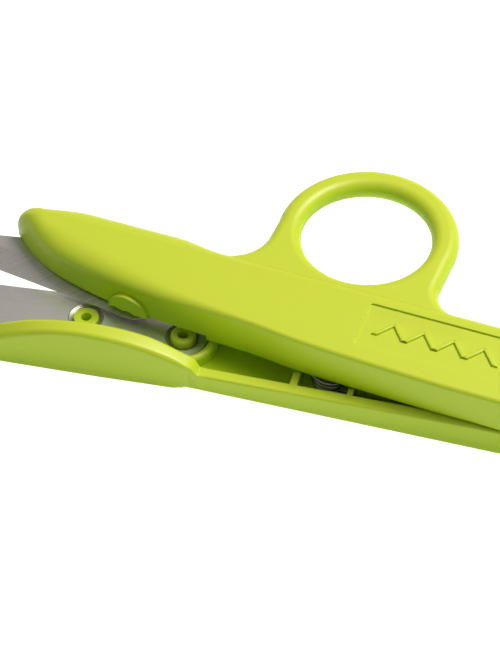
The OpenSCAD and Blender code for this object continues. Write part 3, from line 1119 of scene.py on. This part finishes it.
        def at_seat(p: Vector) -> bool:
            """Whether a point lies on the edge of the blade seat, where it shows beside the blade."""
            return abs((level @ p).z - lay.upper_seat) < 0.01 and p.x < lay.seat_end - 0.3

        soften(bm, sharp_edges(bm, at_joint, 60), 0.25)
        soften(bm, sharp_edges(bm, at_seat, 60), 0.28, 3)
        soften(bm, sharp_edges(bm, at_top, 60), 0.12)

    def fittings(self) -> list[Solid]:
        """Blade bosses and the lugs inside the arm, level and closed."""
        lay = self.layout
        rim = lay.upper_flat
        bore, radius, root = lay.boss_bore, lay.boss_radius, rim + 1.6
        section = [(bore, root), (bore, rim + 0.15), (bore + 0.15, rim),
                   (radius - 0.2, rim), (radius, rim + 0.2), (radius, root)]
        bosses = [turned(section, at, closed=True, steps=48) for at in lay.boss_at]
        spring_lug = box((-51, -1.15, 6), (-45, 0.45, 11.5), 0.3)
        return [*bosses, spring_lug]

    def stop(self) -> Solid:
        """The lug that meets the lower arm's wall when the snips are open."""
        return box((-21.5, 2.05, 3), (-18.5, 3.65, 11.2), 0.35)

    def build_moulding(self) -> None:
        """Builds the arm."""
        lay = self.layout
        bm = self.moulding()
        self.soften_rims(bm)
        add(bm, *[moved(part, lay.leaning) for part in self.fittings()], self.stop())
        finish_piece(moved(bm, lay.opening), "ring_arm_moulding", Body.RING_ARM,
                     [self.finishes.plastic], "ring_handle")

    def build_stitch_row(self) -> None:
        """A raised zigzag in the panel, like a row of machine stitching."""
        lay = self.layout
        bar, height, step, count = 1.05, 3.3, 2.6, 8
        first, middle = -28.6, 0.4
        low, high = lay.top - 0.5, lay.top + 0.04
        row = bmesh.new()
        for i in range(count):
            rise = height / 2 if i % 2 == 0 else -height / 2
            x = first + i * step
            start, end = middle - rise, middle + rise
            corners = [(x, start), (x + bar, start), (x + step + bar, end), (x + step, end)]
            stroke = prism(corners if rise > 0 else corners[::-1], Axis.Z, low, high)
            soften(stroke, [e for e in stroke.edges if all(v.co.z > lay.top - 0.1 for v in e.verts)], 0.25, 4)
            add(row, stroke)
        finish_piece(moved(row, lay.opening @ lay.leaning), "stitch_row", Body.RING_ARM,
                     [self.finishes.plastic])

    def build_gate_tab(self) -> None:
        """The half-disc that the mould's gate left on the arm's inner side, torn along its foot."""
        lay = self.layout
        radius, middle, foot = 3.8, 6.0, lay.upper_seat + 0.05
        rise = foot - middle
        reach = math.sqrt(radius**2 - rise**2)
        start = math.degrees(math.asin(rise / radius))
        top = arc((0, middle), radius, start, 180 - start, 28)
        torn = []
        for i in range(1, 24):
            x = mix(-reach, reach, i / 24)
            ragged = 0.3 * (0.5 + 0.5 * math.sin(x * 2.4 + 1.0)) * smoothstep(3.2, 0.5, x)
            torn.append(Vector((x, foot + ragged)))
        face, back = -1.15, 0.8
        bm = prism([*top, *torn], Axis.Y, face, back)
        soften(bm, sharp_edges(bm, lambda p: p.y < face + 0.01, 60), 0.38, 4)
        turn = Matrix.Rotation(math.radians(self.tab_turn), 4, "Z")
        bm = moved(bm, Matrix.Translation((*self.tab_at, 0)) @ turn)
        for vert in bm.verts:
            vert.co.y = max(vert.co.y, self.tab_limit)
        finish_piece(moved(bm, lay.opening @ lay.leaning), "gate_tab", Body.RING_ARM,
                     [self.finishes.torn_plastic])

    def build(self) -> None:
        """Builds every piece of the arm."""
        self.build_moulding()
        self.build_stitch_row()
        self.build_gate_tab()


@dataclass
class ThumbArm:
    """The lower arm: an open channel with the blade seat, thumb pad, posts and ribs."""

    layout: Layout
    finishes: Finishes
    rim_round: float = 0.45
    foot_round: float = 0.7
    crest: tuple[float, float] = (-75.5, 10.2)
    crest_radius: float = 38.0
    front_end: tuple[float, float] = (118.6, 3.5)
    rear_end: tuple[float, float] = (62.8, 3.8)
    pad_ends: tuple[float, float] = (-95.45, -55.0)
    pad_sink: float = -56.4
    pad_inner: tuple[tuple[float, float], ...] = (
        (-96.0, -9.6), (-90.6, -8.6), (-85.4, -7.8), (-78.6, -7.0), (-73.4, -6.5), (-65.0, -5.75),
        (-58.0, -5.85), (-54.0, -6.1))
    pad_outer: tuple[tuple[float, float], ...] = (
        (-96.0, -11.0), (-90.6, -10.9), (-81.7, -10.35), (-72.9, -9.8), (-64.2, -9.1), (-60.8, -8.85),
        (-57.0, -8.7), (-54.0, -8.3))
    pad_slant: float = 1.7
    slant_span: tuple[float, float] = (-76.0, -92.0)
    pad_edges: tuple[float, float] = (0.85, 0.42)
    edge_span: tuple[float, float] = (-60.0, -57.0)
    melt_span: tuple[float, float] = (-58.0, -56.8)
    rim_inner: float = -6.25
    rim_span: tuple[float, float] = (-57.0, -55.4)
    rear_centre: tuple[float, float] = (-62.0, 3.2)
    rear_reach: tuple[float, float] = (4.6, 3.5)
    rear_edge: float = 0.42
    coil_at: tuple[float, float] = (-34.8, -1.4)

    def shell(self) -> Solid:
        """The channel: outside, rim, inner walls and floor, with the blade seat cut away."""
        lay = self.layout
        plan = [Vector((p.x, -p.y)) for p in reversed(lay.arm_outline())]
        hollow = [Vector((p.x, -p.y)) for p in reversed(lay.channel_outline())]
        high, bend = 8.0, 0.9
        quarter = [math.radians(90 * i / 4) for i in range(5)]
        foot = self.foot_round
        outside = [at_height(inset(plan, [foot * (1 - math.sin(a))] * len(plan)),
                             foot * (1 - math.cos(a))) for a in quarter]
        inside = [at_height(inset(hollow, [bend * (1 - math.cos(a))] * len(hollow)),
                            lay.floor + bend * (1 - math.sin(a))) for a in quarter]
        bm = bmesh.new()
        base = new_ring(bm, outside[0])
        rim_out = grow(bm, base, [*outside[1:], at_height(plan, high)])
        rim_in = new_ring(bm, at_height(hollow, high))
        bed = grow(bm, rim_in, inside)
        for ring in (base, bed):
            bmesh.ops.contextual_create(bm, geom=ring_edges(bm, ring))
        fill(bm, rim_out, rim_in)
        tidy(bm)
        return bm

    def open_channel(self) -> Solid:
        """The shell cut down to its sloping rim and to the blade seat, with soft rims."""
        lay = self.layout
        fall = math.tan(math.radians(lay.parting_fall))
        above = [(-130, lay.parting - (lay.parting_start + 130) * fall), (lay.parting_start, lay.parting),
                 (40, lay.parting), (40, 30), (-130, 30)]
        bm = carve(self.shell(), prism(above, Axis.Y, -60, 60), Cut.REMOVE)
        bm = carve(bm, box((-120, -60, lay.lower_seat), (lay.seat_end, 60, 20)), Cut.REMOVE)

        def at_rim(p: Vector) -> bool:
            """Whether a point lies on the rim."""
            return abs(p.z - lay.parting_at(p.x)) < 0.02 and p.x > lay.seat_end - 0.02

        soften(bm, sharp_edges(bm, at_rim, 60), self.rim_round, 4)
        return bm

    def pad_top(self, x: float) -> float:
        """Height of the middle of the pad's top at x."""
        centre = (self.crest[0], self.crest[1] - self.crest_radius)
        ends = []
        for degrees, radius in (self.front_end, self.rear_end):
            a = math.radians(degrees)
            reach = self.crest_radius - radius
            ends.append((centre[0] + reach * math.cos(a), centre[1] + reach * math.sin(a), radius, a))
        for cx, cz, radius, a in ends:
            past = cx + radius * math.cos(a)
            if (x - past) * math.cos(a) > 0:
                return cz + math.sqrt(max(0.01, radius**2 - (x - cx) ** 2))
        return centre[1] + math.sqrt(self.crest_radius**2 - (x - centre[0]) ** 2)

    def proud(self, x: float, z: float) -> float:
        """How far the pad's face stands out of the arm's side: 1, and 0 past its round rear end."""
        xc, zc = self.rear_centre
        reach, drop = self.rear_reach
        past = max(0.0, (x - xc) / reach) ** 3 + max(0.0, (zc - z) / drop) ** 3
        inside = max(0.0, 1.0 - past ** (1 / 3)) * reach / self.rear_edge
        return math.sqrt(1.0 - (1.0 - min(1.0, inside)) ** 2)

    def side_at(self, z: float) -> float:
        """Y of the arm's near side at height z, just outside its rounded foot."""
        rest = min(1.0, z / self.foot_round)
        return -self.layout.half_width + 0.02 + self.foot_round * (1.0 - math.sqrt(1.0 - (1.0 - rest) ** 2))

    def pad_section(self, x: float) -> list[Vector]:
        """The pad's section at x: its round top slants at the front and sinks into the rim behind."""
        rim, rear = self.layout.parting_at(x), self.pad_ends[1]
        inner, outer = value_at(self.pad_inner, x), value_at(self.pad_outer, x)
        inner = mix(inner, self.rim_inner, smoothstep(*self.rim_span, x))
        over = self.pad_top(x) - rim
        never_under = (over + math.hypot(over, 0.3)) / 2
        over = mix(over, never_under, smoothstep(*self.melt_span, x))
        top = rim + over * smoothstep(rear, self.pad_sink, x)
        top -= 0.06 * smoothstep(self.pad_sink, rear, x)
        slant = self.pad_slant * smoothstep(*self.slant_span, x)
        high, low = top + slant * 0.35, max(1.2, top - slant * 0.65)
        edge = min(mix(*self.pad_edges, smoothstep(*self.edge_span, x)), (inner - outer) * 0.4)
        corners = [(outer, -9.0), (inner, -9.0), (inner, high), (outer, low)]
        bend = [p for p in rounded(corners, edge, 5) if p.y > 0]
        rise = bend[-1].y
        face = [Vector((outer, mix(rise, 0.0, i / 14))) for i in range(1, 15)]
        section = [Vector((inner, 0.0)), *bend, *face]
        if x > self.rear_centre[0]:
            for p in section:
                side = self.side_at(p.y)
                if p.x < side:
                    p.x = mix(side, p.x, self.proud(x, p.y))
        return [Vector((x, p.x, p.y)) for p in section]

    def pad(self) -> Solid:
        """The thumb pad."""
        front, rear = self.pad_ends
        middle = (front + rear) / 2
        half = (rear - front) / 2
        last = 90
        stations = [middle - half * math.cos(math.pi * i / last) for i in range(last + 1)]
        sections = [self.pad_section(x) for x in stations]
        size = min(len(s) for s in sections)
        if any(len(s) != size for s in sections):
            raise ValueError("the pad's sections differ in their number of points")
        return lofted(sections)

    def pad_foot(self) -> Solid:
        """The solid foot that joins the pad to the blade seat."""
        lay = self.layout
        outer = [(x, y + 0.4) for x, y in self.pad_outer if x < -57]
        plan = [(-95.0, -6.4), *[(max(x, -95.0), y) for x, y in outer], (-57.5, -8.0), (-57.5, -6.4)]
        return prism(rounded(plan, 0.5, 3), Axis.Z, 0.04, lay.lower_seat - 0.03)

    def tang_rib(self) -> Solid:
        """The round-topped rib that encloses the lower blade's tang."""
        lay = self.layout
        inner = lay.tang_width / 2 + 0.25
        thick, top = 1.6, 3.9
        crown = [(inner + thick / 2 + p.x, top - thick / 2 + p.y) for p in arc((0, 0), thick / 2, 0, 180, 10)]
        return turned([(inner, 1.0), (inner + thick, 1.0), *crown], lay.boss_at[1], closed=True,
                      steps=40, sweep=180, start=-90)

    def rib(self, x: float, thick: float, notch: tuple[float, float, float],
            ends: tuple[float, float]) -> Solid:
        """A rib across the channel, notched for the spring.

        Args:
            x: its middle.
            thick: its thickness.
            notch: where the notch starts and ends in Y, and its height.
            ends: the rib's own ends in Y.

        Returns:
            The solid.
        """
        top = self.layout.parting_at(x) - 0.08
        start, end, floor = notch
        low, high = ends
        outline = [(low, 1.0), (high, 1.0), (high, top), (end, top), (end, floor),
                   (start, floor), (start, top), (low, top)]
        bm = prism(outline, Axis.X, x - thick / 2, x + thick / 2)
        soften(bm, sharp_edges(bm, lambda p: p.z > 1.5, 60), 0.18, 3)
        return bm

    @staticmethod
    def hollow_post(at: Sequence[float], radius: float, bore: float, top: float, base: float = 1.0,
                    bore_floor: float = 1.2, edge: float = 0.25) -> Solid:
        """An upright post with a blind bore and a rounded rim."""
        rim = [(radius - edge + edge * math.cos(a), top - edge + edge * math.sin(a))
               for a in (math.radians(d) for d in (0, 30, 60, 90))]
        mouth = [(bore + edge * 0.6 * (1 - math.sin(a)), top - edge * 0.6 * (1 - math.cos(a)))
                 for a in (math.radians(d) for d in (0, 45, 90))]
        profile = [(0, base), (radius, base), *rim, *mouth, (bore, bore_floor), (0, bore_floor)]
        return turned(profile, at, steps=56)

    def build(self) -> None:
        """Builds the arm."""
        lay = self.layout
        bm = carve(self.open_channel(), self.pad(), Cut.JOIN)
        bm = carve(bm, self.pad_foot(), Cut.JOIN)
        front, rear = lay.boss_at
        for at in (front, rear):
            bm = carve(bm, turned([(0, 1.05), (1.5, 1.05), (1.5, 6), (0, 6)], at), Cut.REMOVE)
        ribs = [self.tang_rib()]
        for x, thick, notch, ends in ((-40.0, 1.3, (-3.4, 5.6, 3.0), (-7.4, 6.4)),
                                      (-30.3, 1.0, (-4.85, -3.45, lay.floor + 0.02), (-7.4, 6.8))):
            ribs.append(self.rib(x, thick, notch, ends))
        radius, bore, level = lay.boss_radius, lay.boss_bore, lay.blade_top
        hinge_top = lay.recess_floor + 0.05
        posts = [self.hollow_post(front, radius, bore, level, base=0.9, edge=0.2),
                 self.hollow_post(rear, radius, bore, level + 0.8, base=0.9, edge=0.6),
                 self.hollow_post(self.coil_at, 2.1, 0.9, 4.1),
                 self.hollow_post((0, 0), lay.post_radius, 1.2, hinge_top, bore_floor=2.6, edge=0.2)]
        add(bm, *ribs, *posts)
        finish_piece(bm, "thumb_arm_moulding", Body.THUMB_ARM,
                     [self.finishes.plastic], "thumb_handle")


@dataclass
class ReturnSpring:
    """The torsion spring on its post, with one leg in each arm."""

    layout: Layout
    finishes: Finishes
    coil_at: tuple[float, float] = (-34.8, -1.4)
    wire: float = 0.8
    coil: float = 5.5
    turns: int = 2
    tip: tuple[float, float, float] = (-46.6, 2.7, 7.6)
    bend: float = 0.7

    def route(self) -> list[Vector]:
        """The wire's middle line: fixed leg, coil, moving leg and its upturned end."""
        radius, pitch = self.coil / 2, self.wire + 0.05
        low = self.layout.floor + 0.05 + self.wire / 2
        cx, cy = self.coil_at
        to_tip = Vector((self.tip[0] - cx, self.tip[1] - cy))
        leave = math.degrees(math.atan2(to_tip.y, to_tip.x) + math.acos(radius / to_tip.length))
        sweep = 360 * self.turns + 270 - leave
        count = math.ceil(sweep / 8)
        high = low + pitch * sweep / 360
        points = [Vector((cx + x, cy - radius, low)) for x in (9.5, 6.0, 3.0)]
        for i in range(count + 1):
            a = math.radians(270 - sweep * i / count)
            z = low + pitch * sweep / 360 * i / count
            points.append(Vector((cx + radius * math.cos(a), cy + radius * math.sin(a), z)))
        start = points[-1]
        end = Vector((self.tip[0], self.tip[1], 0))
        run = (end - Vector((start.x, start.y, 0))).normalized()
        foot = end - run * self.bend
        climb = 0.5
        for share in (0.35, 0.7):
            level = start.lerp(foot, share)
            points.append(Vector((level.x, level.y, high + climb * share)))
        for degrees in range(-90, 1, 15):
            a = math.radians(degrees)
            bend = foot + run * (self.bend * math.cos(a))
            points.append(Vector((bend.x, bend.y, high + climb + self.bend * (1 + math.sin(a)))))
        points.append(Vector(self.tip))
        return points

    def build(self) -> None:
        """Builds the spring's wire along its route, as one fixed mesh."""
        curve = bpy.data.curves.new("wire", "CURVE")
        curve.dimensions = "3D"
        curve.bevel_depth = self.wire / 2
        curve.bevel_resolution = 4
        curve.use_fill_caps = True
        line = curve.splines.new("POLY")
        route = self.route()
        line.points.add(len(route) - 1)
        for point, place in zip(line.points, route):
            point.co = (*place, 1.0)
        holder = bpy.data.objects.new("wire", curve)
        bpy.context.scene.collection.objects.link(holder)
        evaluated = holder.evaluated_get(bpy.context.evaluated_depsgraph_get())
        bm = bmesh.new()
        bm.from_mesh(evaluated.to_mesh())
        evaluated.to_mesh_clear()
        bpy.data.objects.remove(holder)
        bpy.data.curves.remove(curve)
        piece = smooth_object(bm, "return_spring_wire", [self.finishes.wire], 50)
        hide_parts("return_spring")
        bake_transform(piece)
        log.info("return_spring_wire: %d faces, bends between the arms", len(piece.data.polygons))


@dataclass
class HingeScrew:
    """The pan-head screw and its washer, sunk in the ring arm's tail."""

    layout: Layout
    finishes: Finishes
    washer_radius: float = 4.2
    washer_thick: float = 0.6
    head_radius: float = 3.0
    head_high: float = 1.4
    shank_radius: float = 1.15

    @property
    def washer_base(self) -> float:
        """Height of the washer's underside."""
        return self.layout.recess_floor + 0.07

    def build_washer(self) -> None:
        """The flat washer, with its stamped edges."""
        low, high = self.washer_base, self.washer_base + self.washer_thick
        inner, outer = self.shank_radius + 0.1, self.washer_radius
        profile = rounded([(inner, low), (outer, low), (outer, high), (inner, high)], 0.14, 4)
        bm = turned([(p.x, p.y) for p in profile], (0, 0), closed=True, steps=72)
        finish_piece(bm, "hinge_washer", Body.THUMB_ARM, [self.finishes.zinc], "pivot_washer")

    def build_screw(self) -> None:
        """The screw, with a cross recess in its domed head."""
        base = self.washer_base + self.washer_thick
        top = base + self.head_high
        edge, foot = 0.75, 3.4
        dome = [(self.head_radius * math.cos(a), base + edge + (self.head_high - edge) * math.sin(a))
                for a in (math.radians(d) for d in range(0, 90, 10))]
        profile = [(0, foot), (self.shank_radius - 0.3, foot), (self.shank_radius, foot + 0.5),
                   (self.shank_radius, base), (self.head_radius - 0.15, base),
                   (self.head_radius, base + 0.15), *dome, (0, top)]
        bm = turned(profile, (0, 0), steps=72)
        for turn in (0.0, 90.0):
            slot = box((-1.7, -0.38, top - 0.95), (1.7, 0.38, top + 0.5))
            for v in slot.verts:
                if v.co.z < top:
                    v.co.x *= 0.35
                    v.co.y *= 0.6
            bm = carve(bm, moved(slot, Matrix.Rotation(math.radians(turn + 18), 4, "Z")), Cut.REMOVE)
        soften(bm, sharp_edges(bm, lambda p: p.z > top - 0.35, 50), 0.04)
        finish_piece(bm, "hinge_screw", Body.THUMB_ARM, [self.finishes.zinc], "pivot_screw")

    def build(self) -> None:
        """Builds the washer and the screw."""
        self.build_washer()
        self.build_screw()


# ---------------------------------------------------------------- the studio


@dataclass
class Studio:
    """The floor, the soft lights and the camera."""

    finishes: Finishes
    azimuth: float = 15.5
    elevation: float = 48.5
    distance: float = 0.42
    target: tuple[float, float, float] = (-0.051, 0.0065, 0.0)
    focal_px: float = 2436.0
    frame_px: int = 667
    sensor: float = 36.0
    surround: float = 0.20
    key_at: tuple[float, float, float] = (0.30, 0.30, 0.78)
    key_towards: tuple[float, float, float] = (-0.05, 0.0, 0.0)
    key_size: float = 0.5
    key_power: float = 8.9
    key_tint: tuple[float, float, float] = (1.0, 0.90, 0.80)

    def build_floor(self) -> None:
        """A wide pale sheet under the snips."""
        bm = bmesh.new()
        bmesh.ops.create_grid(bm, x_segments=8, y_segments=8, size=1.6)
        bmesh.ops.translate(bm, verts=bm.verts, vec=(0, 0, -0.00015))
        mesh = bpy.data.meshes.new("floor")
        bm.to_mesh(mesh)
        bm.free()
        mesh.materials.append(FloorPaper().material(self.finishes.effects))
        floor = bpy.data.objects.new("floor", mesh)
        bpy.context.scene.collection.objects.link(floor)

    def build_lights(self) -> None:
        """A softbox from behind on the right, and an even pale surround."""
        world = bpy.data.worlds.new("surround")
        bpy.context.scene.world = world
        world.use_nodes = True
        back = world.node_tree.nodes["Background"]
        back.inputs["Color"].default_value = (1.0, 1.0, 1.0, 1.0)
        back.inputs["Strength"].default_value = self.surround
        data = bpy.data.lights.new("key", "AREA")
        data.shape = "RECTANGLE"
        data.size = data.size_y = self.key_size
        data.energy = self.key_power
        data.color = self.key_tint
        key = bpy.data.objects.new("key", data)
        bpy.context.scene.collection.objects.link(key)
        key.location = self.key_at
        aim = Vector(self.key_towards) - Vector(self.key_at)
        key.rotation_euler = aim.to_track_quat("-Z", "Y").to_euler()

    def build_camera(self) -> None:
        """A long lens, above and to the right of square on."""
        a, e = math.radians(self.azimuth), math.radians(self.elevation)
        back = Vector((math.sin(a) * math.cos(e), -math.cos(a) * math.cos(e), math.sin(e)))
        data = bpy.data.cameras.new("camera")
        data.sensor_width = self.sensor
        data.lens = self.focal_px * self.sensor / self.frame_px
        data.clip_start, data.clip_end = 0.01, 10.0
        camera = bpy.data.objects.new("camera", data)
        bpy.context.scene.collection.objects.link(camera)
        camera.location = Vector(self.target) + back * self.distance
        camera.rotation_euler = (-back).to_track_quat("-Z", "Y").to_euler()
        bpy.context.scene.camera = camera

    def build(self) -> None:
        """Builds the studio."""
        self.build_camera()
        self.build_floor()
        self.build_lights()
        bpy.context.scene.view_settings.view_transform = "Standard"


def main() -> None:
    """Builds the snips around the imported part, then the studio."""
    logging.basicConfig(level=logging.INFO, format="%(name)s: %(message)s")
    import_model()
    layout, finishes = Layout(), Finishes()
    RingArm(layout, finishes).build()
    ThumbArm(layout, finishes).build()
    blade = Blade(layout, finishes)
    blade.build_lower()
    blade.build_upper()
    ReturnSpring(layout, finishes).build()
    HingeScrew(layout, finishes).build()
    Studio(finishes).build()


if __name__ == "__main__":
    main()
